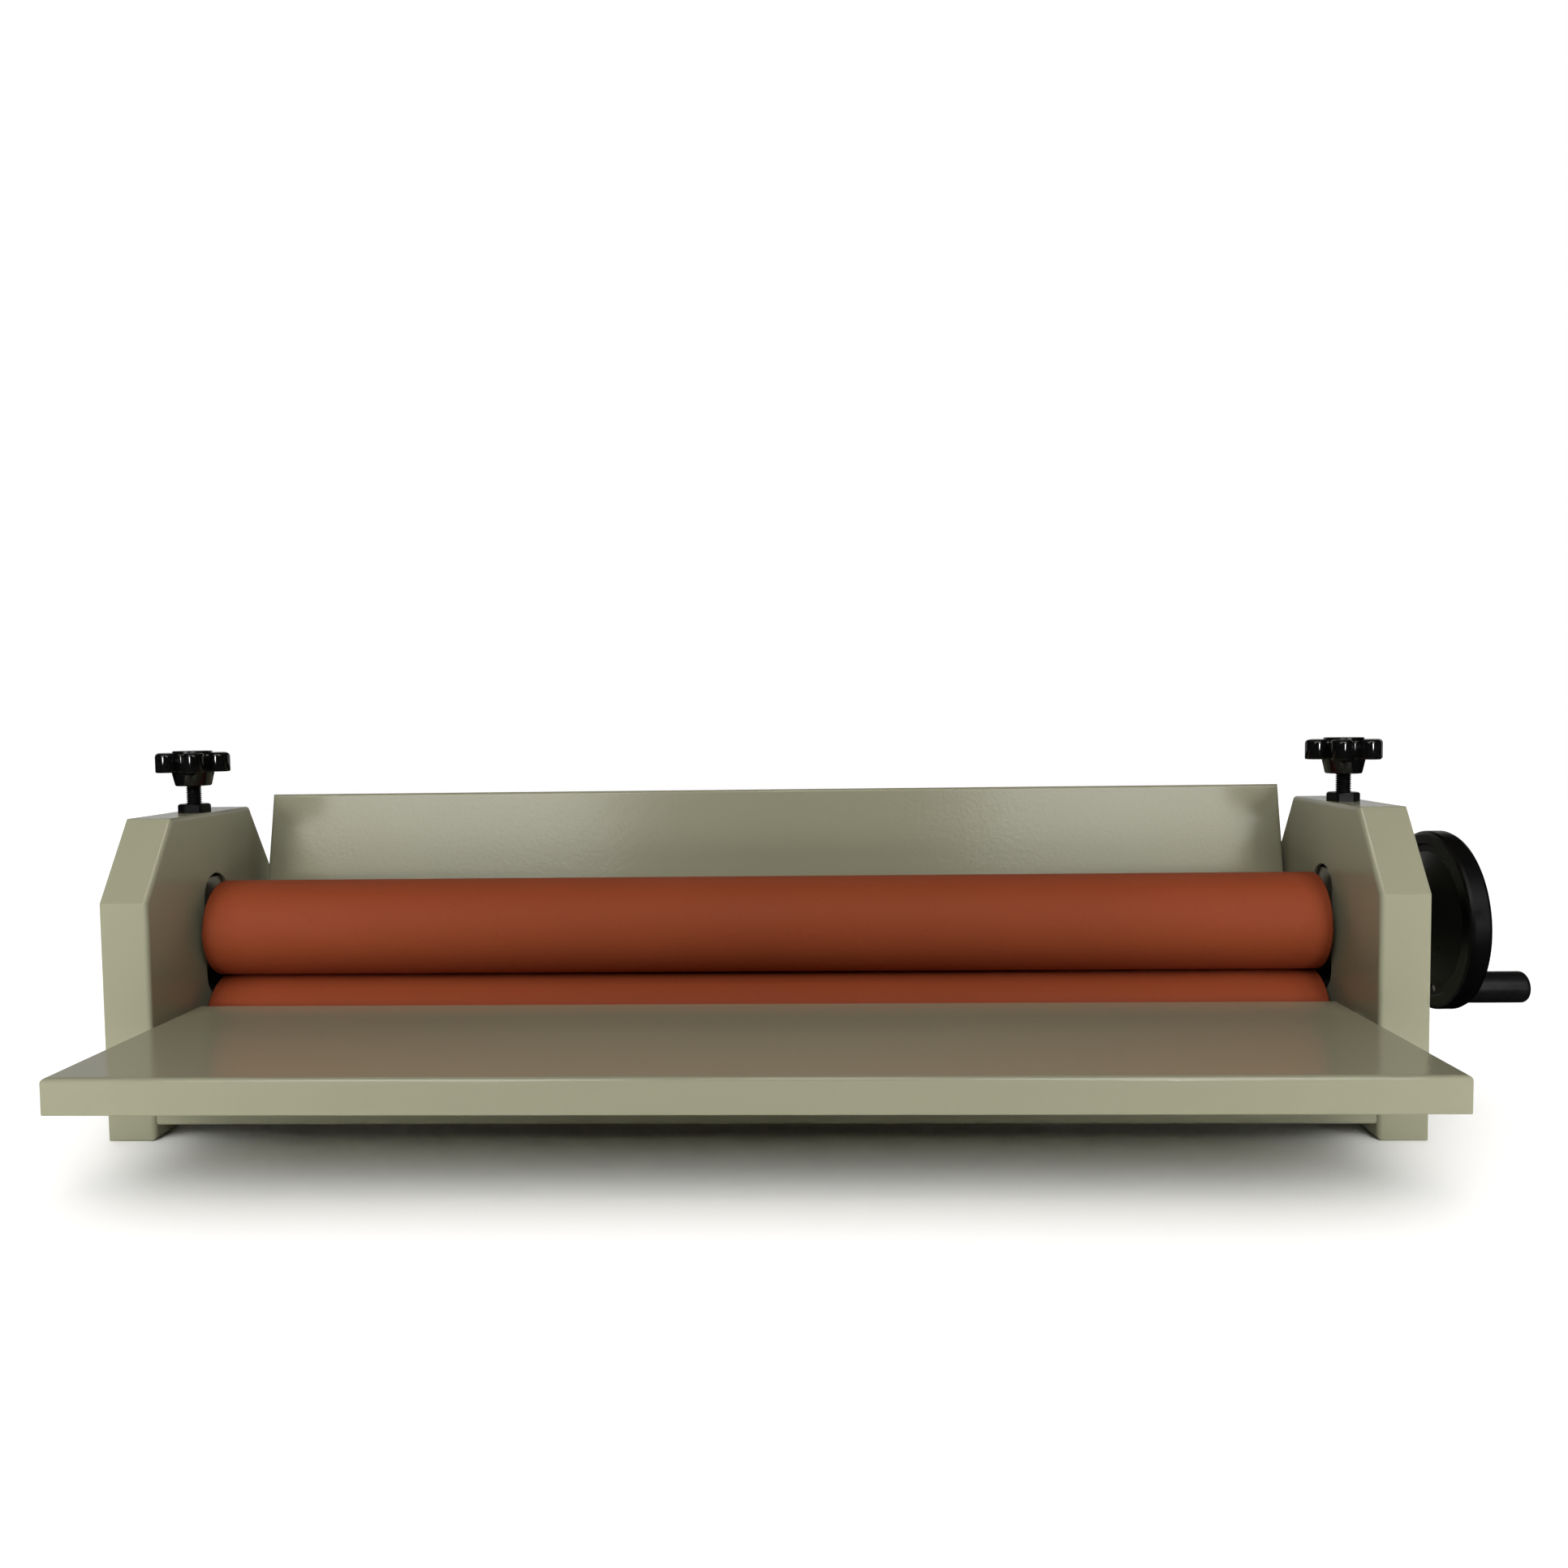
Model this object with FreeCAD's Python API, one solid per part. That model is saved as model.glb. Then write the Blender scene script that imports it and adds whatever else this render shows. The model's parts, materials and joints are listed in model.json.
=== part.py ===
import FreeCAD, Part
import math
import os

V = FreeCAD.Vector

# Manual cold roll laminator: two side housings joined by two beams, a pair of
# rubber rollers, a folding table on each side, and two screws that set the nip.
# Frame: X along the rollers, Y through the machine (front is -Y), Z up.
# Origin: on the floor, midway between the housings, under the roller axes.
# All lengths are in millimetres.

# ---- driving dimensions -------------------------------------------------
GAP = 764.0             # between the two housings' inner faces
HOUSING_T = 30.0        # thickness of one housing along X
HOUSING_DEPTH = 176.0   # front to back
HOUSING_H = 203.0       # floor to top
KNEE_Z = 152.0          # where the front and back walls start to slope
TOP_INSET = 34.0        # how far the top edge stands in from the front wall
SHEET = 2.0             # housing steel
TABLE_SHEET = 1.5       # table, cover and beam steel

ROLLER_D = 65.5         # over the rubber
ROLLER_LEN = 753.5      # rubber face
TUBE_D, TUBE_BORE = 50.0, 40.0
UPPER_Z = 122.0         # upper roller axis with the nip closed
NIP_GAP = 0.3           # clearance between the rubbers at rest
LIFT = 23.0             # thickest board the nip opens to
LOWER_Z = UPPER_Z - ROLLER_D - NIP_GAP

SHAFT_D, SHOULDER_D, DRIVE_D = 17.0, 24.0, 15.0
BEARING_OD, BEARING_W = 35.0, 10.0
SLOT_W = 33.0           # slot in the housing wall for the rising shaft
SLOT_TOP, SLOT_BOTTOM = 160.6, 74.6

TABLE_W, TABLE_DEPTH, LIP = 756.0, 167.6, 20.5
TABLE_TOP = 75.0
PIVOT_Y, PIVOT_Z = 56.0, 64.0      # table hinge line, front one at -PIVOT_Y
TABLE_TAIL = 19.6                  # table behind its hinge line
REAR_FOLD = 77.1                   # the rear table stands folded up this far
REAR_SHIFT = 2.5                   # and sits this far to the right, by its unequal spacers

SCREW_D, SCREW_FIT = 10.0, 0.05
BUSH_AF, BUSH_HEAD = 19.0, 6.0
KNOB_R, KNOB_LOBES = 26.0, 6
LOBE_R, VALLEY_R = 7.2, 14.6           # a lobe's radius, and the valleys' floor from the axis
KNOB_HUB_H, KNOB_STAR_H = 9.7, 13.2

WHEEL_R, WHEEL_RIM_X, WHEEL_RIM_W = 60.0, 451.0, 14.0
HANDLE_R, HANDLE_ANGLE = 45.5, 12.0    # handle's place on the wheel, from straight down
GRIP_D, GRIP_LEN = 21.0, 46.0

BEAM_LOW, BEAM_TOP, BEAM_FLANGE = 9.5, 52.0, 20.0
BEAM_BOLT_Z = (21.0, 40.0)
FOOT_R, FOOT_H, NECK_R = 6.0, 4.0, 3.8     # the nip screw's foot and neck
SHAFT_END = 451.0
HUB_IN, HUB_OUT, HUB_R = 419.0, 452.0, 16.0
COVER_TABS = [(-79.0, 8.0), (79.0, 8.0), (-79.0, 140.0), (79.0, 140.0)]    # (Y, Z) of the cover screws
STAND_X, STAND_Y, STAND_R = 397.0, 55.0, 4.5   # bolt holes in the housings' feet

# ---- worked out ---------------------------------------------------------
FACE = GAP / 2                      # housing's inner face
OUTER = FACE + HOUSING_T            # housing's outer edge
HALF_D = HOUSING_DEPTH / 2
TOP_Y = HALF_D - TOP_INSET
ROLLER_R = ROLLER_D / 2
HALF_ROLL = ROLLER_LEN / 2
BAY = FACE + SHEET                  # where the mechanism's bay starts
BLOCK_IN, BLOCK_OUT = BAY + 0.5, BAY + 21.5
GUIDE_OUT = BAY + 22.0
BUSH_X = BAY + 11.3                 # the nip screw's place in the block
SEAT_X = BLOCK_IN + 4.4             # bearing's inner end face
BLOCK_TOP = 157.4
RETAINER_T = 3.0
BRIDGE_Z = 188.0                    # underside of the guide frame's bridge
GUIDE_TOP = HOUSING_H - SHEET
KNOB_Z = 221.8                      # underside of the knob's hub
SCREW_TOP = KNOB_Z + 16.0
COVER_X = OUTER - 2.0
BEAM_FACE = HALF_D - 1.5
BEAM_BOLT_Y = BEAM_FACE - 10.0
GRIP_X = WHEEL_RIM_X + WHEEL_RIM_W + 1.5

PARTS = {}


# ---- helpers ------------------------------------------------------------
def box(x0, x1, y0, y1, z0, z1):
    return Part.makeBox(x1 - x0, y1 - y0, z1 - z0, V(x0, y0, z0))


def rod(r, x0, x1, y=0.0, z=0.0):
    """A cylinder along X."""
    return Part.makeCylinder(r, x1 - x0, V(x0, y, z), V(1, 0, 0))


def post(r, z0, z1, x=0.0, y=0.0):
    """A cylinder along Z."""
    return Part.makeCylinder(r, z1 - z0, V(x, y, z0), V(0, 0, 1))


def ring(r_out, r_in, x0, x1, y=0.0, z=0.0):
    return rod(r_out, x0, x1, y, z).cut(rod(r_in, x0 - 1, x1 + 1, y, z))


def turned(points, y=0.0, z=0.0):
    """Turns (x, radius) points about the X line through (y, z)."""
    wire = Part.makePolygon([V(x, 0, r) for x, r in points] + [V(points[0][0], 0, points[0][1])])
    solid = Part.Face(wire).revolve(V(0, 0, 0), V(1, 0, 0), 360)
    solid.translate(V(0, y, z))
    return solid


def obround(width, z_low, z_high, x0, x1):
    """A vertical slot's solid along X, with round ends."""
    r = width / 2
    body = box(x0, x1, -r, r, z_low + r, z_high - r)
    return body.fuse([rod(r, x0, x1, 0, z_low + r), rod(r, x0, x1, 0, z_high - r)]).removeSplitter()


def hexagon(across_flats, z0, z1, x, turn):
    radius = across_flats / math.sqrt(3)
    corners = [V(x + radius * math.cos(math.radians(turn + 60 * k)),
                 radius * math.sin(math.radians(turn + 60 * k)), z0) for k in range(7)]
    return Part.Face(Part.makePolygon(corners)).extrude(V(0, 0, z1 - z0))


def hex_rod(across_flats, x0, x1, y, z):
    radius = across_flats / math.sqrt(3)
    corners = [V(x0, y + radius * math.cos(math.radians(60 * k)),
                 z + radius * math.sin(math.radians(60 * k))) for k in range(7)]
    return Part.Face(Part.makePolygon(corners)).extrude(V(x1 - x0, 0, 0))


def mirrored(shape):
    return shape.mirror(V(0, 0, 0), V(1, 0, 0))


def housing_outline(inset):
    """The housing's side outline in the plane X = 0, drawn in by inset."""
    slope = math.atan2(HOUSING_H - KNEE_Z, TOP_INSET)
    knee_drop = inset * math.tan((math.pi / 2 - slope) / 2)
    top_in = inset * math.tan(slope / 2)
    y, top, knee = HALF_D - inset, HOUSING_H - inset, KNEE_Z - knee_drop
    half_top = TOP_Y - top_in
    corners = [(-y, inset), (y, inset), (y, knee), (half_top, top), (-half_top, top), (-y, knee)]
    return [V(0, a, b) for a, b in corners + corners[:1]]


def edges_where(shape, test):
    return [e for e in shape.Edges if test(e)]


def in_plane_x(edge, x):
    return all(abs(v.Point.x - x) < 1e-6 for v in edge.Vertexes)


def in_plane_z(edge, z):
    return all(abs(v.Point.z - z) < 1e-6 for v in edge.Vertexes)


def along_x(edge):
    ends = [v.Point for v in edge.Vertexes]
    return len(ends) == 2 and (ends[1] - ends[0]).cross(V(1, 0, 0)).Length < 1e-6


def add(name, shape):
    PARTS[name] = shape


def add_pair(name, shape):
    """The shape on the right side, and its mirror image on the left."""
    add(name + "_right", shape)
    add(name + "_left", mirrored(shape))


# ---- side housings ------------------------------------------------------
def housing():
    """One bent and welded steel shell, open on its outer side."""
    bend, crease = 3.0, 1.2
    outer = Part.Face(Part.makePolygon(housing_outline(0))).extrude(V(HOUSING_T, 0, 0))
    outer.translate(V(FACE, 0, 0))
    outer = outer.makeFillet(crease, edges_where(outer, along_x))
    rim = edges_where(outer, lambda e: in_plane_x(e, FACE))
    outer = outer.makeFillet(bend, rim)
    inner = Part.Face(Part.makePolygon(housing_outline(SHEET))).extrude(V(HOUSING_T, 0, 0))
    inner.translate(V(BAY, 0, 0))
    inner = inner.makeFillet(bend - SHEET, edges_where(inner, lambda e: in_plane_x(e, BAY)))
    shell = outer.cut(inner)
    cuts = [
        obround(SLOT_W, SLOT_BOTTOM, SLOT_TOP, FACE - 1, BAY + 1),
        rod(14.5, FACE - 1, BAY + 1, 0, LOWER_Z),
        post(8.05, GUIDE_TOP - 1, HOUSING_H + 1, BUSH_X, 0),
    ]
    for side in (-1, 1):
        cuts.append(rod(3.1, FACE - 1, BAY + 1, side * PIVOT_Y, PIVOT_Z))
        cuts.append(post(STAND_R, -1, SHEET + 1, STAND_X, side * STAND_Y))
        for z in BEAM_BOLT_Z:
            cuts.append(rod(3.2, FACE - 1, BAY + 1, side * BEAM_BOLT_Y, z))
    tabs = [cover_tab(y, z) for y, z in COVER_TABS]
    return shell.cut(cuts).fuse(tabs).removeSplitter()


def cover_tab(y, z):
    """A drilled tab welded inside the wall, which a cover screw goes into."""
    wall = HALF_D - SHEET
    edge = math.copysign(wall, y)
    low, high = sorted((y - math.copysign(6, y), edge))
    tab = box(COVER_X - 4.0, COVER_X - 0.5, low, high, z - 6, z + 6)
    return tab.cut(rod(1.3, COVER_X - 6, COVER_X + 1, y, z))


def side_cover(drive):
    """The flat outer plate. The drive side has a slot for the rising shaft."""
    plate = Part.Face(Part.makePolygon(housing_outline(SHEET + 0.4))).extrude(V(TABLE_SHEET, 0, 0))
    plate.translate(V(COVER_X, 0, 0))
    cuts = [rod(1.8, COVER_X - 1, COVER_X + 3, y, z) for y, z in COVER_TABS]
    if drive:
        cuts.append(obround(DRIVE_D + 4, UPPER_Z - DRIVE_D / 2 - 3, UPPER_Z + LIFT + DRIVE_D / 2 + 3,
                            COVER_X - 1, COVER_X + 3))
    return plate.cut(cuts)


def cover_screw(y, z):
    """A pan-head screw through the cover into its tab."""
    head_x = COVER_X + TABLE_SHEET
    head = rod(3.0, head_x, head_x + 2.6, y, z)
    head = head.makeFillet(1.2, edges_where(head, lambda e: in_plane_x(e, head_x + 2.6)))
    head = head.cut(box(head_x + 1.5, head_x + 3, y - 1.7, y + 1.7, z - 0.4, z + 0.4))
    head = head.cut(box(head_x + 1.5, head_x + 3, y - 0.4, y + 0.4, z - 1.7, z + 1.7))
    return head.fuse(rod(1.2, COVER_X - 5.5, head_x, y, z)).removeSplitter()


def guide_frame():
    """The thick steel frame whose window the bearing blocks sit in."""
    body = box(BAY, GUIDE_OUT, -36, 36, 16, GUIDE_TOP)
    inner_top = edges_where(body, lambda e: in_plane_x(e, BAY) and e.BoundBox.ZMin > GUIDE_TOP - 1)
    body = body.makeChamfer(1.2, inner_top)
    window = box(BAY - 1, GUIDE_OUT + 1, -22, 22, 30, BRIDGE_Z)
    return body.cut([window, post(8.05, BRIDGE_Z - 1, GUIDE_TOP + 1, BUSH_X, 0)])


# ---- beams and their bolts ----------------------------------------------
def front_beam():
    """A channel between the housings, open to the back, with a plate at each end."""
    half, t = FACE - 0.2, TABLE_SHEET
    y0, y1 = -BEAM_FACE, -BEAM_FACE + BEAM_FLANGE
    body = box(-half, half, y0, y1, BEAM_LOW, BEAM_TOP)
    long_front = edges_where(body, lambda e: along_x(e) and e.BoundBox.YMax < y0 + 1)
    body = body.makeFillet(3.0, long_front)
    hollow = box(-half + 2.5, half - 2.5, y0 + t, y1 + 1, BEAM_LOW + t, BEAM_TOP - t)
    body = body.cut(hollow)
    holes = [rod(3.2, -FACE - 1, FACE + 1, -BEAM_BOLT_Y, z) for z in BEAM_BOLT_Z]
    return body.cut(holes)


def beam_bolt(y, z):
    """A hexagon bolt from inside the housing into the beam's end plate, and its nut."""
    head = hex_rod(10.0, BAY, BAY + 4.0, y, z)
    shank = rod(3.0, FACE - 8.5, BAY, y, z)
    nut_x = FACE - 0.2 - 2.5
    nut = hex_rod(10.0, nut_x - 5.0, nut_x, y, z).cut(rod(3.05, nut_x - 6, nut_x + 1, y, z))
    return [head.fuse(shank).removeSplitter(), nut]


def stop_pad(side):
    """A rubber pad on the beam that a table's side wall comes down on."""
    y = side * (BEAM_FACE - 10.0)
    pad = box(FACE - 12, FACE - 2, y - 6, y + 6, BEAM_TOP, TABLE_TOP - LIP - 0.3)
    return pad


# ---- tables -------------------------------------------------------------
def table():
    """The front table, level: a pressed tray with all four edges turned down."""
    half, t = TABLE_W / 2, TABLE_SHEET
    tail, nose = -PIVOT_Y + TABLE_TAIL, -PIVOT_Y + TABLE_TAIL - TABLE_DEPTH
    low = TABLE_TOP - LIP
    body = box(-half, half, nose, tail, low, TABLE_TOP)
    top_edges = edges_where(body, lambda e: in_plane_z(e, TABLE_TOP))
    body = body.makeFillet(2.5, top_edges)
    nose_edge = edges_where(body, lambda e: in_plane_z(e, low) and e.BoundBox.YMax < nose + 1)
    body = body.makeFillet(1.4, nose_edge)
    hollow = box(-half + t, half - t, nose + t, tail - t, low - 1, TABLE_TOP - t)
    upper = edges_where(hollow, lambda e: in_plane_z(e, TABLE_TOP - t))
    hollow = hollow.makeFillet(1.0, upper)
    tray = body.cut(hollow)
    hem = box(-half + t, half - t, nose + t - 0.01, nose + t + 9, low, low + t)
    tray = tray.fuse(hem).removeSplitter()
    return tray.cut(rod(4.05, -half - 1, half + 1, -PIVOT_Y, PIVOT_Z))


def rear_table():
    """The same tray at the back, turned up about its hinge line."""
    tray = table().mirror(V(0, 0, 0), V(0, 1, 0))
    tray.rotate(V(0, PIVOT_Y, PIVOT_Z), V(1, 0, 0), REAR_FOLD)
    tray.translate(V(REAR_SHIFT, 0, 0))
    return tray


def pivot_bolt(y, shift):
    """A shoulder bolt that a table turns on, screwed up to the housing wall."""
    flange = TABLE_W / 2 - TABLE_SHEET + shift
    head = rod(6.5, flange - 4.3, flange - 0.3, y, PIVOT_Z)
    head = head.makeFillet(1.2, edges_where(head, lambda e: in_plane_x(e, flange - 4.3)))
    head = head.cut(hex_rod(4.0, flange - 5, flange - 2.3, y, PIVOT_Z))
    shoulder = rod(4.0, flange - 0.3, FACE, y, PIVOT_Z)
    return head.fuse([shoulder, rod(3.0, FACE, BAY + 7.0, y, PIVOT_Z)]).removeSplitter()


def pivot_spacer(y, shift):
    """A nylon washer that keeps the table off the housing wall."""
    return ring(8.0, 4.1, TABLE_W / 2 + shift + 0.2, FACE - 0.2, y, PIVOT_Z)


def pivot_nut(y):
    return hex_rod(10.0, BAY, BAY + 5.0, y, PIVOT_Z).cut(rod(3.05, BAY - 1, BAY + 6, y, PIVOT_Z))


# ---- bearing blocks, bearings and rollers -------------------------------
def bearing_block(z_low, z_high, axis_z, side_play):
    body = box(BLOCK_IN, BLOCK_OUT, -22 + side_play, 22 - side_play, z_low, z_high)
    shaft_way = rod(14.0, BLOCK_IN - 1, SEAT_X, 0, axis_z)
    seat = rod(BEARING_OD / 2, SEAT_X, BLOCK_OUT + 1, 0, axis_z)
    return body.cut([shaft_way, seat])


def upper_block():
    """The sliding block. The screw's foot turns in the pocket in its top."""
    pocket = post(FOOT_R + 0.3, BLOCK_TOP - FOOT_H - 0.4, BLOCK_TOP + 1, BUSH_X, 0)
    taps = [post(1.7, BLOCK_TOP - 9, BLOCK_TOP + 1, BUSH_X, side * 14) for side in (-1, 1)]
    return bearing_block(95.0, BLOCK_TOP, UPPER_Z, 0.3).cut([pocket] + taps)


def foot_retainer():
    """The plate that keeps the screw's foot in the block, so that the screw lifts it too."""
    plate = box(BUSH_X - 8, BUSH_X + 8, -20, 20, BLOCK_TOP, BLOCK_TOP + RETAINER_T)
    holes = [post(2.2, BLOCK_TOP - 1, BLOCK_TOP + RETAINER_T + 1, BUSH_X, side * 14) for side in (-1, 1)]
    return plate.cut([post(NECK_R + 0.4, BLOCK_TOP - 1, BLOCK_TOP + RETAINER_T + 1, BUSH_X, 0)] + holes)


def retainer_screw(side):
    z = BLOCK_TOP + RETAINER_T
    head = post(3.5, z, z + 2.2, BUSH_X, side * 14)
    head = head.cut(box(BUSH_X - 0.5, BUSH_X + 0.5, side * 14 - 4, side * 14 + 4, z + 1.2, z + 3))
    return head.fuse(post(1.6, z - 10, z, BUSH_X, side * 14)).removeSplitter()


def bearing(axis_z):
    """A deep-groove ball bearing: its outer ring with the balls, and its inner ring."""
    x0, x1 = SEAT_X, SEAT_X + BEARING_W
    mid, ball_r, pitch_r = (x0 + x1) / 2, 2.8, 13.0
    groove = Part.makeTorus(pitch_r, ball_r + 0.3, V(mid, 0, axis_z), V(1, 0, 0))
    outer = ring(BEARING_OD / 2 - 0.01, 14.9, x0, x1, 0, axis_z).cut(groove)
    inner = ring(11.1, SHAFT_D / 2 + 0.01, x0, x1, 0, axis_z).cut(groove)
    balls = []
    for k in range(8):
        angle = math.radians(45 * k)
        centre = V(mid, pitch_r * math.cos(angle), axis_z + pitch_r * math.sin(angle))
        balls.append(Part.makeSphere(ball_r, centre))
    return Part.makeCompound([outer] + balls), inner


def journal(axis_z, drive):
    """A turned stub shaft pressed into the end of a roller tube."""
    plug_r = TUBE_BORE / 2
    end = SEAT_X + BEARING_W + 4.0
    points = [
        (HALF_ROLL - 28, 0), (HALF_ROLL - 28, plug_r), (HALF_ROLL, plug_r),
        (HALF_ROLL, SHOULDER_D / 2), (SEAT_X - 0.05, SHOULDER_D / 2), (SEAT_X - 0.05, SHAFT_D / 2),
    ]
    if drive:
        points += [(end, SHAFT_D / 2), (end, DRIVE_D / 2), (SHAFT_END - 1, DRIVE_D / 2),
                   (SHAFT_END, DRIVE_D / 2 - 1), (SHAFT_END, 0)]
    else:
        points += [(end - 1, SHAFT_D / 2), (end, SHAFT_D / 2 - 1), (end, 0)]
    stub = turned(points, 0, axis_z)
    if drive:
        stub = stub.cut(rod(2.5, SHAFT_END - 18, SHAFT_END + 1, 0, axis_z))
    return stub


def retaining_ring(axis_z):
    x = SEAT_X + BEARING_W + 0.1
    return ring(SHAFT_D / 2 + 2.6, SHAFT_D / 2 + 0.02, x, x + 1.2, 0, axis_z)


def roller(axis_z):
    tube = ring(TUBE_D / 2, TUBE_BORE / 2, -HALF_ROLL, HALF_ROLL, 0, axis_z)
    sleeve = rod(ROLLER_R, -HALF_ROLL, HALF_ROLL, 0, axis_z)
    ends = edges_where(sleeve, lambda e: in_plane_x(e, HALF_ROLL) or in_plane_x(e, -HALF_ROLL))
    sleeve = sleeve.makeFillet(1.2, ends)
    return sleeve.cut(rod(TUBE_D / 2, -HALF_ROLL - 1, HALF_ROLL + 1, 0, axis_z)), tube


# ---- nip screws and knobs -----------------------------------------------
def screw_bush(turn):
    """The hexagon bush that the screw runs in, through the housing's top and the bridge."""
    head = hexagon(BUSH_AF, HOUSING_H, HOUSING_H + BUSH_HEAD, BUSH_X, turn)
    dome = post(BUSH_AF / 2 + 1.0, HOUSING_H, HOUSING_H + BUSH_HEAD, BUSH_X, 0)
    dome = dome.makeChamfer(1.0, edges_where(dome, lambda e: in_plane_z(e, HOUSING_H + BUSH_HEAD)))
    body = head.common(dome).fuse(post(8.0, BRIDGE_Z, HOUSING_H, BUSH_X, 0)).removeSplitter()
    return body.cut(post(SCREW_D / 2 + SCREW_FIT, BRIDGE_Z - 1, HOUSING_H + BUSH_HEAD + 1, BUSH_X, 0))


def pressure_screw():
    """The threaded rod, drawn plain at its outer diameter, with a necked foot."""
    neck_top = BLOCK_TOP + RETAINER_T + 1.0
    foot_low = BLOCK_TOP - FOOT_H - 0.2
    foot = post(FOOT_R, foot_low, foot_low + FOOT_H, BUSH_X, 0)
    neck = post(NECK_R, foot_low + FOOT_H, neck_top, BUSH_X, 0)
    thread = post(SCREW_D / 2, neck_top, SCREW_TOP, BUSH_X, 0)
    return thread.fuse([neck, foot]).removeSplitter()


def star_face(turn, z):
    """The knob's outline: round lobes joined by round valleys, each tangent to the next."""
    half = math.pi / KNOB_LOBES
    lobe_c, step_in = KNOB_R - LOBE_R, LOBE_R - VALLEY_R
    valley_c = (lobe_c ** 2 - step_in ** 2) / (2 * (lobe_c * math.cos(half) + step_in))

    def polar(radius, angle):
        return V(radius * math.cos(angle), radius * math.sin(angle), z)

    def meeting(lobe_angle, valley_angle):
        lobe, valley = polar(lobe_c, lobe_angle), polar(valley_c, valley_angle)
        return lobe + (valley - lobe).normalize() * LOBE_R

    arcs = []
    for k in range(KNOB_LOBES):
        a = math.radians(turn) + 2 * half * k
        leave = meeting(a, a + half)
        arcs.append(Part.Arc(meeting(a, a - half), polar(KNOB_R, a), leave))
        arcs.append(Part.Arc(leave, polar(VALLEY_R, a + half), meeting(a + 2 * half, a + half)))
    return Part.Face(Part.Wire([arc.toShape() for arc in arcs]))


def knob(turn):
    """A lobed star knob on a tapered hub, with a raised cap."""
    star_z = KNOB_Z + KNOB_HUB_H
    cap_z = star_z + KNOB_STAR_H
    edge = 3.0
    star = star_face(turn, star_z).extrude(V(0, 0, KNOB_STAR_H))
    narrow = KNOB_R - edge
    crown = Part.makeCone(narrow + KNOB_STAR_H, narrow, KNOB_STAR_H, V(0, 0, star_z), V(0, 0, 1))
    hub = Part.makeCone(11.7, 13.7, KNOB_HUB_H, V(0, 0, KNOB_Z), V(0, 0, 1))
    cap = Part.makeCone(13.3, 12.7, 1.3, V(0, 0, cap_z), V(0, 0, 1))
    body = star.common(crown).fuse([hub, cap]).removeSplitter()
    body = body.cut(post(SCREW_D / 2, KNOB_Z - 1, SCREW_TOP, 0, 0))
    body.translate(V(BUSH_X, 0, 0))
    return body


# ---- hand wheel ---------------------------------------------------------
def handwheel():
    """A solid dished wheel turned in one piece, with a boss for the handle."""
    rim0, rim1, r = WHEEL_RIM_X, WHEEL_RIM_X + WHEEL_RIM_W, WHEEL_R
    profile = [
        (HUB_IN, DRIVE_D / 2), (HUB_IN, HUB_R - 1.5), (HUB_IN + 1.5, HUB_R), (HUB_OUT - 12, HUB_R + 2.5),
        (rim0 + 1.5, r - 14), (rim0 + 1.5, r - 9.5), (rim0, r - 8.5), (rim0, r - 2.5), (rim0 + 0.8, r - 0.8),
        (rim0 + 2.5, r), (rim1 - 2.5, r), (rim1 - 0.8, r - 0.8), (rim1, r - 2.5), (rim1, r - 8.5),
        (rim1 - 1.2, r - 9.5), (rim1 - 5.5, r - 12), (rim1 - 5.5, r - 15), (HUB_OUT - 6, HUB_R + 4.5),
        (HUB_OUT - 6, HUB_R), (HUB_OUT, HUB_R - 1.0), (HUB_OUT, DRIVE_D / 2),
    ]
    wheel = turned(profile, 0, UPPER_Z)
    y, z = handle_place()
    boss = rod(8.5, rim0 + 2.0, rim1, y, z)
    wheel = wheel.fuse(boss).removeSplitter()
    wheel = wheel.cut(rod(3.0, rim0, rim1 + 1, y, z))
    return wheel.cut(post(2.5, UPPER_Z, UPPER_Z + HUB_R + 3, HUB_IN + 8, 0))


def handle_place():
    a = math.radians(HANDLE_ANGLE)
    return -HANDLE_R * math.sin(a), UPPER_Z - HANDLE_R * math.cos(a)


def set_screw():
    """The grub screw that holds the wheel's hub on the shaft."""
    screw = post(2.45, UPPER_Z + DRIVE_D / 2, UPPER_Z + HUB_R - 1.5, HUB_IN + 8, 0)
    socket = hexagon(2.5, UPPER_Z + HUB_R - 4.5, UPPER_Z + HUB_R + 1, HUB_IN + 8, 0)
    return screw.cut(socket)


def end_screw():
    head_x = HUB_OUT + 1.6
    head = rod(5.0, head_x, head_x + 5.0, 0, UPPER_Z)
    head = head.makeFillet(0.8, edges_where(head, lambda e: in_plane_x(e, head_x + 5.0)))
    head = head.cut(hex_rod(5.0, head_x + 2.2, head_x + 6, 0, UPPER_Z))
    return head.fuse(rod(2.4, SHAFT_END - 15, head_x, 0, UPPER_Z)).removeSplitter()


def end_washer():
    return ring(9.0, 3.2, HUB_OUT, HUB_OUT + 1.6, 0, UPPER_Z)


def handle_spindle():
    """The pin that the grip turns on, riveted through the wheel's boss."""
    y, z = handle_place()
    tail = rod(2.95, WHEEL_RIM_X + 2.0, GRIP_X - 1.5, y, z)
    collar = rod(6.0, GRIP_X - 1.5, GRIP_X - 0.3, y, z)
    pin = rod(4.0, GRIP_X - 0.3, GRIP_X + GRIP_LEN - 9, y, z)
    head = rod(5.5, GRIP_X + GRIP_LEN - 9, GRIP_X + GRIP_LEN - 6, y, z)
    return tail.fuse([collar, pin, head]).removeSplitter()


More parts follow.
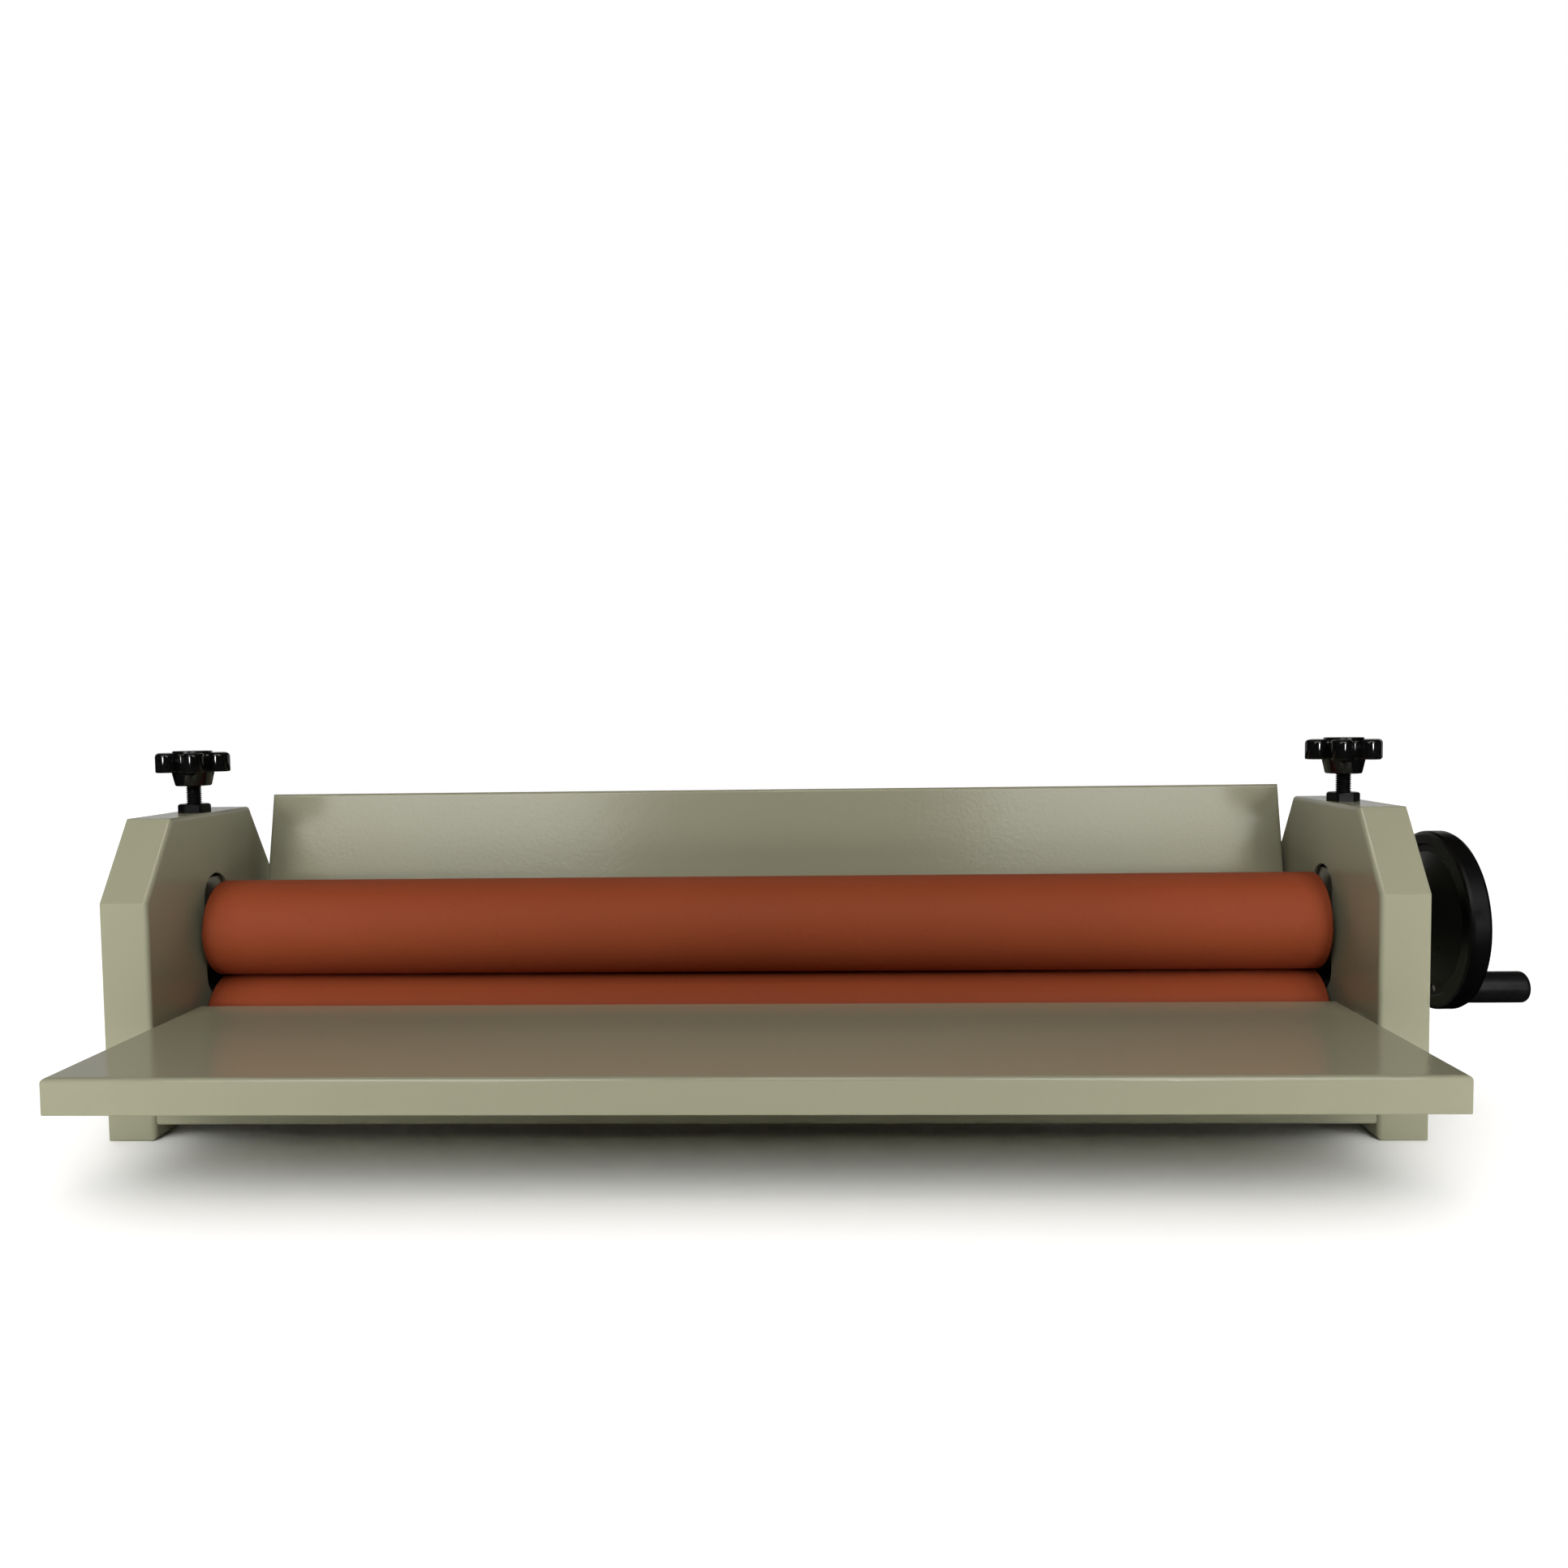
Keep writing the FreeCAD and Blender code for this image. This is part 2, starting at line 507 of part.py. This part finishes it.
def handle_grip():
    """The turning grip: a plain cylinder, rounded at its free end."""
    y, z = handle_place()
    end = GRIP_X + GRIP_LEN
    body = rod(GRIP_D / 2, GRIP_X, end, y, z)
    body = body.makeFillet(3.5, edges_where(body, lambda e: in_plane_x(e, end)))
    body = body.makeFillet(1.0, edges_where(body, lambda e: in_plane_x(e, GRIP_X)))
    well = rod(6.5, end - 9.3, end - 1.8, y, z)
    return body.cut([rod(4.05, GRIP_X - 1, end - 8, y, z), well])


# ---- assembly -----------------------------------------------------------
def build():
    add_pair("housing", housing())
    add("side_cover_right", side_cover(True))
    add("side_cover_left", mirrored(side_cover(False)))
    screws = [cover_screw(y, z) for y, z in COVER_TABS]
    add("cover_screws", Part.makeCompound(screws + [mirrored(s) for s in screws]))
    add_pair("guide_frame", guide_frame())

    add("front_beam", front_beam())
    add("rear_beam", front_beam().mirror(V(0, 0, 0), V(0, 1, 0)))
    bolts = []
    for side in (-1, 1):
        for z in BEAM_BOLT_Z:
            bolts += beam_bolt(side * BEAM_BOLT_Y, z)
    add("beam_bolts", Part.makeCompound(bolts + [mirrored(b) for b in bolts]))
    pads = [stop_pad(side) for side in (-1, 1)]
    add("stop_pads", Part.makeCompound(pads + [mirrored(p) for p in pads]))

    add("front_table", table())
    add("rear_table", rear_table())
    spacers, nuts = [], []
    for name, y, shift in (("front", -PIVOT_Y, 0.0), ("rear", PIVOT_Y, REAR_SHIFT)):
        bolts = [pivot_bolt(y, shift), mirrored(pivot_bolt(y, -shift))]
        add(name + "_pivot_bolts", Part.makeCompound(bolts))
        spacers += [pivot_spacer(y, shift), mirrored(pivot_spacer(y, -shift))]
        nuts += [pivot_nut(y), mirrored(pivot_nut(y))]
    add("pivot_spacers", Part.makeCompound(spacers))
    add("pivot_nuts", Part.makeCompound(nuts))

    add_pair("lower_bearing_block", bearing_block(30.0, 80.0, LOWER_Z, 0.0))
    add_pair("upper_bearing_block", upper_block())
    add_pair("foot_retainer", foot_retainer())
    fixings = [retainer_screw(side) for side in (-1, 1)]
    add("retainer_screws", Part.makeCompound(fixings + [mirrored(s) for s in fixings]))

    for name, axis_z in (("upper", UPPER_Z), ("lower", LOWER_Z)):
        outer, inner = bearing(axis_z)
        add_pair(name + "_bearing_outer", outer)
        add(name + "_bearing_inners", Part.makeCompound([inner, mirrored(inner)]))
        sleeve, tube = roller(axis_z)
        add(name + "_roller_rubber", sleeve)
        add(name + "_roller_tube", tube)
        clip = retaining_ring(axis_z)
        add(name + "_retaining_rings", Part.makeCompound([clip, mirrored(clip)]))
        add(name + "_journal_left", mirrored(journal(axis_z, False)))
    add("upper_drive_journal", journal(UPPER_Z, True))
    add("lower_journal_right", journal(LOWER_Z, False))

    add("screw_bush_right", screw_bush(-10.3))
    add("screw_bush_left", mirrored(screw_bush(180 - 17.8)))
    add_pair("pressure_screw", pressure_screw())
    add("knob_right", knob(4.0))
    add("knob_left", mirrored(knob(1.0)))

    add("handwheel", handwheel())
    add("wheel_set_screw", set_screw())
    add("wheel_end_screw", end_screw())
    add("wheel_washer", end_washer())
    add("handle_spindle", handle_spindle())
    add("handle_grip", handle_grip())


def export():
    os.makedirs("parts", exist_ok=True)
    for name, shape in sorted(PARTS.items()):
        for solid in shape.Solids:
            if not solid.isValid() or solid.Volume <= 0:
                print("bad solid in", name)
        shape.exportStep("parts/" + name + ".step")
    print(len(PARTS), "nodes")


build()
export()
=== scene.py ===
import json
import math

import bpy
from mathutils import Matrix, Vector

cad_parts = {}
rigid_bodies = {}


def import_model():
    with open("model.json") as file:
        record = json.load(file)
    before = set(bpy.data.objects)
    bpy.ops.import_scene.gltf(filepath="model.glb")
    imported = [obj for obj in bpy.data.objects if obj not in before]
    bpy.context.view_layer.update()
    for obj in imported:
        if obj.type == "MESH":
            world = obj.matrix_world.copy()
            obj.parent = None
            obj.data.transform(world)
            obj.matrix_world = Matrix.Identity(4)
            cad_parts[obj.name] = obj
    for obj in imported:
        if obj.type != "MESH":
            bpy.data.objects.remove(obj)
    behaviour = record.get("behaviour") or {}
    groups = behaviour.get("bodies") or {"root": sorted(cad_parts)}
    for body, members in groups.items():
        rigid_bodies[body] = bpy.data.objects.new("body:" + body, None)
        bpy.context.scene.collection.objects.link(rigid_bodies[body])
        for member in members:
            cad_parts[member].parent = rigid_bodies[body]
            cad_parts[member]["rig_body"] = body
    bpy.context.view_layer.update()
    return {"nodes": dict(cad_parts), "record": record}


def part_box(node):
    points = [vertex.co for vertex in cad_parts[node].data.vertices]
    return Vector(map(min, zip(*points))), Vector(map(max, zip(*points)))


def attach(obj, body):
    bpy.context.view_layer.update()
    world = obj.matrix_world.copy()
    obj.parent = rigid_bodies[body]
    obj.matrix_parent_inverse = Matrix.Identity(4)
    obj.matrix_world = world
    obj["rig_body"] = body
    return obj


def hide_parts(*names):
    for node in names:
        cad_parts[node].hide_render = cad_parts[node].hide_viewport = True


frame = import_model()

# Looks of a manual cold roll laminator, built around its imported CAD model.
# Metres, in the row frame: X along the rollers, +Y to the rear, Z up.

NODES = frame["nodes"]
MM = 0.001


# ---- shader helpers -----------------------------------------------------
def new_material(name):
    material = bpy.data.materials.new(name)
    material.use_nodes = True
    return material, material.node_tree, material.node_tree.nodes["Principled BSDF"]


def shader_node(tree, kind, values=None, **settings):
    """Adds a node, sets its properties and the values of its inputs."""
    node = tree.nodes.new(kind)
    for key, value in settings.items():
        setattr(node, key, value)
    for key, value in (values or {}).items():
        node.inputs[key].default_value = value
    return node


def place(tree):
    """The point in the row frame at rest, which moves with the piece."""
    return shader_node(tree, "ShaderNodeTexCoord").outputs["Object"]


def noise(tree, vector, size, detail=2.0, roughness=0.5, stretch=None):
    """Noise whose features are about size metres across. stretch divides its scale along X, Y, Z."""
    if stretch:
        mapping = shader_node(tree, "ShaderNodeMapping", {"Scale": [1.0 / s for s in stretch]})
        tree.links.new(vector, mapping.inputs["Vector"])
        vector = mapping.outputs["Vector"]
    values = {"Scale": 1.0 / size, "Detail": detail, "Roughness": roughness}
    node = shader_node(tree, "ShaderNodeTexNoise", values)
    tree.links.new(vector, node.inputs["Vector"])
    return node.outputs["Fac"]


def ranged(tree, value, low, high, to_low, to_high):
    node = shader_node(tree, "ShaderNodeMapRange",
                       {"From Min": low, "From Max": high, "To Min": to_low, "To Max": to_high})
    tree.links.new(value, node.inputs["Value"])
    return node.outputs["Result"]


def mixed(tree, factor, first, second):
    """A colour between two, each a tuple or an output."""
    node = shader_node(tree, "ShaderNodeMix", data_type="RGBA")
    tree.links.new(factor, node.inputs[0])
    for socket, colour in ((node.inputs[6], first), (node.inputs[7], second)):
        if isinstance(colour, tuple):
            socket.default_value = (*colour, 1.0)
        else:
            tree.links.new(colour, socket)
    return node.outputs[2]


def bump(tree, height, depth, normal=None):
    """Bump whose full height is depth metres."""
    node = shader_node(tree, "ShaderNodeBump", {"Strength": 1.0, "Distance": depth})
    tree.links.new(height, node.inputs["Height"])
    if normal:
        tree.links.new(normal, node.inputs["Normal"])
    return node.outputs["Normal"]


def join(tree, shader, **inputs):
    for key, value in inputs.items():
        tree.links.new(value, shader.inputs[key.replace("_", " ")])


# ---- materials ----------------------------------------------------------
def paint():
    """Semi-gloss grey-olive enamel with a fine orange peel."""
    material, tree, shader = new_material("body_paint")
    at = place(tree)
    cloud = ranged(tree, noise(tree, at, 0.16, 3.0), 0.3, 0.7, 0.0, 1.0)
    colour = mixed(tree, cloud, (0.344, 0.341, 0.236), (0.349, 0.346, 0.241))
    smudge = ranged(tree, noise(tree, at, 0.07, 3.0), 0.35, 0.75, 0.15, 0.18)
    peel = bump(tree, noise(tree, at, 0.0032, 1.0), 0.00006)
    peel = bump(tree, noise(tree, at, 0.0011, 1.0), 0.00003, peel)
    join(tree, shader, Base_Color=colour, Roughness=smudge, Normal=peel)
    return material


def roller_rubber():
    """Ground brick-red silicone rubber, matte, with fine pores and grinding lines."""
    material, tree, shader = new_material("roller_rubber")
    at = place(tree)
    cloud = ranged(tree, noise(tree, at, 0.09, 4.0), 0.3, 0.7, 0.0, 1.0)
    colour = mixed(tree, cloud, (0.300, 0.058, 0.019), (0.318, 0.063, 0.021))
    pores = ranged(tree, noise(tree, at, 0.0016, 2.0), 0.60, 0.72, 0.0, 0.5)
    colour = mixed(tree, pores, colour, (0.23, 0.045, 0.018))
    lines = noise(tree, at, 0.02, 2.0, stretch=(0.03, 1.0, 1.0))
    grain = bump(tree, lines, 0.00005)
    grain = bump(tree, noise(tree, at, 0.0009, 2.0), 0.00006, grain)
    matte = ranged(tree, cloud, 0.0, 1.0, 0.60, 0.66)
    join(tree, shader, Base_Color=colour, Roughness=matte, Normal=grain)
    shader.inputs["Specular IOR Level"].default_value = 0.16
    return material


def gloss_plastic():
    """Glossy black moulded plastic."""
    material, tree, shader = new_material("knob_plastic")
    at = place(tree)
    cloud = noise(tree, at, 0.012, 3.0)
    colour = mixed(tree, cloud, (0.003, 0.003, 0.003), (0.006, 0.006, 0.006))
    scuffs = ranged(tree, noise(tree, at, 0.004, 3.0, 0.6), 0.45, 0.75, 0.07, 0.10)
    ripple = bump(tree, noise(tree, at, 0.005, 1.0), 0.00001)
    join(tree, shader, Base_Color=colour, Roughness=scuffs, Normal=ripple)
    return material


def satin_black(name, base, roughness, grain_size, grain_depth, gloss):
    """Satin black enamel or moulded plastic with a fine grain."""
    material, tree, shader = new_material(name)
    at = place(tree)
    cloud = ranged(tree, noise(tree, at, 0.02, 4.0), 0.3, 0.7, 0.0, 1.0)
    lighter = tuple(c * 1.5 for c in base)
    colour = mixed(tree, cloud, base, lighter)
    rub = ranged(tree, noise(tree, at, 0.006, 4.0, 0.65), 0.3, 0.7, roughness - 0.06, roughness + 0.08)
    grain = bump(tree, noise(tree, at, grain_size, 2.0), grain_depth)
    join(tree, shader, Base_Color=colour, Roughness=rub, Normal=grain)
    shader.inputs["Specular IOR Level"].default_value = gloss
    return material


def machined(name, base, roughness, metallic=1.0, gloss=0.5):
    """Steel with cutter marks, slightly stained."""
    material, tree, shader = new_material(name)
    at = place(tree)
    stain = ranged(tree, noise(tree, at, 0.018, 5.0, 0.6), 0.3, 0.7, 0.0, 1.0)
    colour = mixed(tree, stain, base, tuple(c * 0.75 for c in base))
    marks = noise(tree, at, 0.006, 3.0, stretch=(1.0, 0.05, 1.0))
    rough = ranged(tree, marks, 0.3, 0.7, roughness - 0.08, roughness + 0.10)
    cut = bump(tree, marks, 0.00002)
    join(tree, shader, Base_Color=colour, Roughness=rough, Normal=cut)
    shader.inputs["Metallic"].default_value = metallic
    shader.inputs["Specular IOR Level"].default_value = gloss
    return material


def moulded(name, base, roughness):
    """Plain moulded nylon or rubber."""
    material, tree, shader = new_material(name)
    at = place(tree)
    cloud = noise(tree, at, 0.01, 3.0)
    colour = mixed(tree, cloud, base, tuple(c * 0.82 for c in base))
    grain = bump(tree, noise(tree, at, 0.0008, 2.0), 0.00003)
    join(tree, shader, Base_Color=colour, Normal=grain)
    shader.inputs["Roughness"].default_value = roughness
    return material


MATERIALS = {
    "body_paint": paint(),
    "roller_rubber": roller_rubber(),
    "knob_plastic": gloss_plastic(),
    "wheel_black": satin_black("wheel_black", (0.0012, 0.0013, 0.0016), 0.32, 0.0009, 0.00003, 0.20),
    "grip_black": satin_black("grip_black", (0.004, 0.0042, 0.0044), 0.32, 0.0007, 0.00002, 0.4),
    "black_steel": machined("black_steel", (0.006, 0.006, 0.007), 0.36, 0.2, 0.2),
    "machined_steel": machined("machined_steel", (0.52, 0.52, 0.53), 0.36),
    "zinc_steel": machined("zinc_steel", (0.66, 0.67, 0.70), 0.28),
    "bearing_steel": machined("bearing_steel", (0.70, 0.70, 0.72), 0.18),
    "nylon": moulded("nylon", (0.80, 0.78, 0.72), 0.5),
    "pad_rubber": moulded("pad_rubber", (0.02, 0.02, 0.02), 0.75),
}
SLOT_OF = {part["node"]: part["material_slot"] for part in frame["record"]["subparts"]}

for node_name, node in NODES.items():
    node.data.materials.clear()
    node.data.materials.append(MATERIALS[SLOT_OF[node_name]])


# ---- mesh helpers -------------------------------------------------------
def make_piece(name, verts, faces, node_name):
    """A mesh piece that stands for a CAD node, rides on its body and takes its slot."""
    mesh = bpy.data.meshes.new(name)
    mesh.from_pydata(verts, [], faces)
    mesh.update()
    mesh.validate()
    for polygon in mesh.polygons:
        polygon.use_smooth = True
    piece = bpy.data.objects.new(name, mesh)
    bpy.context.scene.collection.objects.link(piece)
    slot = SLOT_OF[node_name]
    mesh.materials.append(MATERIALS[slot])
    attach(piece, NODES[node_name]["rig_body"])
    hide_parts(node_name)
    return piece


def skin_rings(rings):
    """Vertices and faces of a closed skin over a stack of equal rings, capped at both ends."""
    count = len(rings[0])
    verts = [v for one in rings for v in one]
    faces = []
    for level in range(len(rings) - 1):
        for k in range(count):
            a, b = level * count + k, level * count + (k + 1) % count
            faces.append((a, b, b + count, a + count))
    faces.append(tuple(reversed(range(count))))
    faces.append(tuple(range(len(verts) - count, len(verts))))
    return verts, faces


# ---- nip screws with real threads ---------------------------------------
def threaded_screw(side):
    """The screw with a helical thread above its neck."""
    node_name = "pressure_screw_" + side
    low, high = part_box(node_name)
    x = (low.x + high.x) / 2
    pitch, outer, root, around = 1.5 * MM, 5.0 * MM, 4.15 * MM, 40
    foot_r, neck_r, foot_h = 6.0 * MM, 3.8 * MM, 4.0 * MM
    crest, slope = 0.12, 0.70      # the flat crest and the flank, as shares of half a pitch
    slices = 10                    # rings per pitch
    start = low.z + foot_h + 4.2 * MM

    def circle(radius, z):
        return [(x + radius * math.cos(2 * math.pi * k / around),
                 radius * math.sin(2 * math.pi * k / around), z) for k in range(around)]

    rings = [circle(foot_r - 0.3 * MM, low.z), circle(foot_r, low.z + 0.3 * MM),
             circle(foot_r, low.z + foot_h - 0.3 * MM), circle(foot_r - 0.3 * MM, low.z + foot_h),
             circle(neck_r, low.z + foot_h), circle(neck_r, start)]
    steps = int((high.z - 0.5 * MM - start) / (pitch / slices))
    for step in range(steps + 1):
        z = start + step * pitch / slices
        ring = []
        for k in range(around):
            turn = k / around
            phase = ((z - start) / pitch - turn) % 1.0
            flank = min(1.0, max(0.0, (abs(phase - 0.5) * 2 - crest) / slope))
            fade = min(1.0, (z - start) / pitch)
            radius = outer - (outer - root) * flank
            radius = neck_r + (radius - neck_r) * fade
            ring.append((x + radius * math.cos(2 * math.pi * turn),
                         radius * math.sin(2 * math.pi * turn), z))
        rings.append(ring)
    rings.append(circle(root - 0.2 * MM, high.z))
    return make_piece("nip_screw_thread_" + side, *skin_rings(rings), node_name)


# ---- star knobs ---------------------------------------------------------
LOBES, LOBE_R, LOBE_C, VALLEY_AT = 6, 7.2 * MM, 18.8 * MM, 14.6 * MM


def star_outline(inset, turn):
    """The knob's outline: six lobes joined by tangent valleys, drawn in by inset."""
    half = math.pi / LOBES
    valley_c = ((LOBE_C ** 2 - (LOBE_R - VALLEY_AT) ** 2)
                / (2 * (LOBE_C * math.cos(half) + LOBE_R - VALLEY_AT)))
    valley_r = valley_c - VALLEY_AT
    across = valley_c * math.sin(half)
    along = valley_c * math.cos(half) - LOBE_C
    meet = math.atan2(across, along)
    points = []
    for k in range(LOBES):
        a = turn + 2 * half * k
        cx, cy = LOBE_C * math.cos(a), LOBE_C * math.sin(a)
        for step in range(15):
            b = a - meet + 2 * meet * step / 14
            points.append((cx + (LOBE_R - inset) * math.cos(b), cy + (LOBE_R - inset) * math.sin(b)))
        vx, vy = valley_c * math.cos(a + half), valley_c * math.sin(a + half)
        first = a + meet + math.pi
        last = a + 2 * half - meet - math.pi
        sweep = (last - first + math.pi) % (2 * math.pi) - math.pi
        for step in range(1, 8):
            b = first + sweep * step / 8
            points.append((vx + (valley_r + inset) * math.cos(b), vy + (valley_r + inset) * math.sin(b)))
    return points


def star_knob(side, turn):
    node_name = "knob_" + side
    low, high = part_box(node_name)
    x = (low.x + high.x) / 2
    hub_h, star_h, cap_h = 9.7 * MM, 13.2 * MM, 1.3 * MM
    star_low = low.z + hub_h
    star_high = star_low + star_h
    outline = star_outline(0.0, turn)

    def round_ring(radius, z):
        return [(x + radius * px / math.hypot(px, py),
                 radius * py / math.hypot(px, py), z) for px, py in outline]

    def star_ring(inset, z):
        return [(x + px, py, z) for px, py in star_outline(inset, turn)]

    def blend_ring(inset, radius, share, z):
        return [tuple(Vector(a).lerp(Vector(b), share))
                for a, b in zip(star_ring(inset, z), round_ring(radius, z))]

    rings = [round_ring(5.6 * MM, low.z + 1.5 * MM), round_ring(5.9 * MM, low.z),
             round_ring(11.0 * MM, low.z), round_ring(11.6 * MM, low.z + 0.6 * MM),
             round_ring(13.5 * MM, star_low - 0.5 * MM), round_ring(13.6 * MM, star_low - 0.1 * MM)]
    edge = 1.0 * MM
    for step in range(5):
        a = math.pi / 2 * step / 4
        rings.append(star_ring(edge * (1 - math.sin(a)), star_low + edge * (1 - math.cos(a))))
    top_edge = 2.6 * MM
    for step in range(9):
        a = math.pi / 2 * step / 8
        rings.append(star_ring(top_edge * (1 - math.cos(a)), star_high - top_edge * (1 - math.sin(a))))
    rings.append(blend_ring(top_edge, 12.9 * MM, 0.9, star_high))
    rings.append(round_ring(12.8 * MM, star_high))
    for step in range(5):
        a = math.pi / 2 * step / 4
        rings.append(round_ring((12.2 + 0.6 * math.cos(a)) * MM, star_high + cap_h * math.sin(a)))
    rings.append(round_ring(3.0 * MM, star_high + cap_h))
    return make_piece("star_knob_" + side, *skin_rings(rings), node_name)


for side_name, knob_turn in (("left", math.pi - math.radians(1.0)), ("right", math.radians(4.0))):
    threaded_screw(side_name)
    star_knob(side_name, knob_turn)


# ---- stage, lights and camera -------------------------------------------
def stage_material():
    material, tree, shader = new_material("studio_floor")
    cloud = noise(tree, place(tree), 0.8, 2.0)
    join(tree, shader, Base_Color=mixed(tree, cloud, (0.86, 0.86, 0.86), (0.88, 0.88, 0.88)))
    shader.inputs["Roughness"].default_value = 0.7
    return material


def sheet(name, profile, half, material):
    """A stage sheet 2 * half wide over a profile of (y, z) points."""
    verts = [(side * half, y, z) for y, z in profile for side in (-1, 1)]
    faces = [(2 * k, 2 * k + 1, 2 * k + 3, 2 * k + 2) for k in range(len(profile) - 1)]
    mesh = bpy.data.meshes.new(name)
    mesh.from_pydata(verts, [], faces)
    for polygon in mesh.polygons:
        polygon.use_smooth = True
    piece = bpy.data.objects.new(name, mesh)
    mesh.materials.append(material)
    bpy.context.scene.collection.objects.link(piece)
    return piece


def stage():
    """A pale floor, and a backdrop behind the object that only throws light back. Neither shows in gloss."""
    front, back, height, radius = -1.3, 4.0, 5.0, 1.2
    material = stage_material()
    curve = [(back - radius, 0.0)]
    for step in range(1, 13):
        a = math.pi / 2 * step / 12
        curve.append((back - radius + radius * math.sin(a), radius - radius * math.cos(a)))
    curve.append((back, height))
    floor = sheet("studio_floor", [(front, 0.0), (back - radius, 0.0)], 3.0, material)
    backdrop = sheet("studio_backdrop", curve, 9.0, material)
    floor.visible_glossy = False
    backdrop.visible_glossy = False
    backdrop.visible_camera = False
    return floor, backdrop


def area_light(name, size, radiance, place_at, target, colour=(1, 1, 1), spread=180.0):
    """A soft rectangular light of a given mean radiance, which no view shows."""
    light = bpy.data.lights.new(name, "AREA")
    light.shape = "RECTANGLE"
    light.size, light.size_y = size
    light.energy = radiance * math.pi * size[0] * size[1]
    light.color = colour
    light.spread = math.radians(spread)
    lamp = bpy.data.objects.new(name, light)
    lamp.location = place_at
    lamp.rotation_mode = "QUATERNION"
    lamp.rotation_quaternion = (Vector(target) - Vector(place_at)).to_track_quat("-Z", "Y")
    lamp.visible_camera = False
    bpy.context.scene.collection.objects.link(lamp)
    return lamp


def surroundings():
    """White paper all round, which only the camera sees."""
    world = bpy.data.worlds.new("studio")
    bpy.context.scene.world = world
    world.use_nodes = True
    background = world.node_tree.nodes["Background"]
    background.inputs["Color"].default_value = (1.0, 1.0, 1.0, 1.0)
    background.inputs["Strength"].default_value = 1.0
    for kind in ("diffuse", "glossy", "transmission", "scatter"):
        setattr(world.cycles_visibility, kind, False)


def lights(floor, backdrop):
    """Two windows in front, a lamp on each end, dim light from above and behind, and washes on the stage."""
    for name, x, radiance in (("window_left", -0.98, 1.0), ("window_right", 0.90, 0.95)):
        area_light(name, (1.0, 1.4), radiance, (x, -2.0, 1.60), (0.45 * x, -0.05, 0.12), spread=80.0)
    for name, x in (("lamp_left", -0.80), ("lamp_right", 0.84)):
        area_light(name, (0.3, 0.3), 0.52, (x, -2.2, 0.26), (0.56 * x, -0.1, 0.13), spread=16.0)
    area_light("sky", (0.5, 0.5), 0.55, (0.0, -1.4, 2.6), (0.0, 0.0, 0.1), (1.0, 0.92, 0.80), spread=36.0)
    area_light("back_card", (7.0, 1.4), 0.5, (0.0, 2.7, 0.7), (0.0, 0.0, 0.2))
    area_light("room", (4.0, 4.0), 0.10, (0.0, 0.0, 2.8), (0.0, 0.0, 0.0), (1.0, 0.84, 0.62))
    washes = (("floor_wash", (16.0, 16.0), 1.2, (0.0, 0.0, 4.0), (0.0, 0.0, 0.0), (floor, backdrop)),
              ("backdrop_wash", (30.0, 3.0), 4.2, (0.0, -5.0, 3.0), (0.0, 4.0, 1.5), (backdrop,)))
    for name, size, radiance, place_at, target, lit in washes:
        receivers = bpy.data.collections.new(name)
        for piece in lit:
            receivers.objects.link(piece)
        wash = area_light(name, size, radiance, place_at, target)
        wash.light_linking.receiver_collection = receivers
        if floor not in lit:
            wash.light_linking.blocker_collection = receivers


def camera():
    yaw, pitch, roll = math.radians(2.01), math.radians(-3.07), math.radians(-0.717)
    forward = Vector((-math.sin(yaw) * math.cos(pitch), math.cos(yaw) * math.cos(pitch), math.sin(pitch)))
    right = Vector((math.cos(yaw), math.sin(yaw), 0.0))
    up = right.cross(forward)
    right_rolled = right * math.cos(roll) + up * math.sin(roll)
    up_rolled = up * math.cos(roll) - right * math.sin(roll)
    data = bpy.data.cameras.new("camera")
    data.lens, data.sensor_width = 27.95, 36.0
    data.clip_start, data.clip_end = 0.01, 50.0
    body = bpy.data.objects.new("camera", data)
    turn = Matrix((right_rolled, up_rolled, -forward)).transposed().to_4x4()
    body.matrix_world = Matrix.Translation((0.0464, -0.8341, 0.2632)) @ turn
    bpy.context.scene.collection.objects.link(body)
    bpy.context.scene.camera = body


surroundings()
lights(*stage())
camera()
bpy.context.scene.view_settings.view_transform = "Standard"
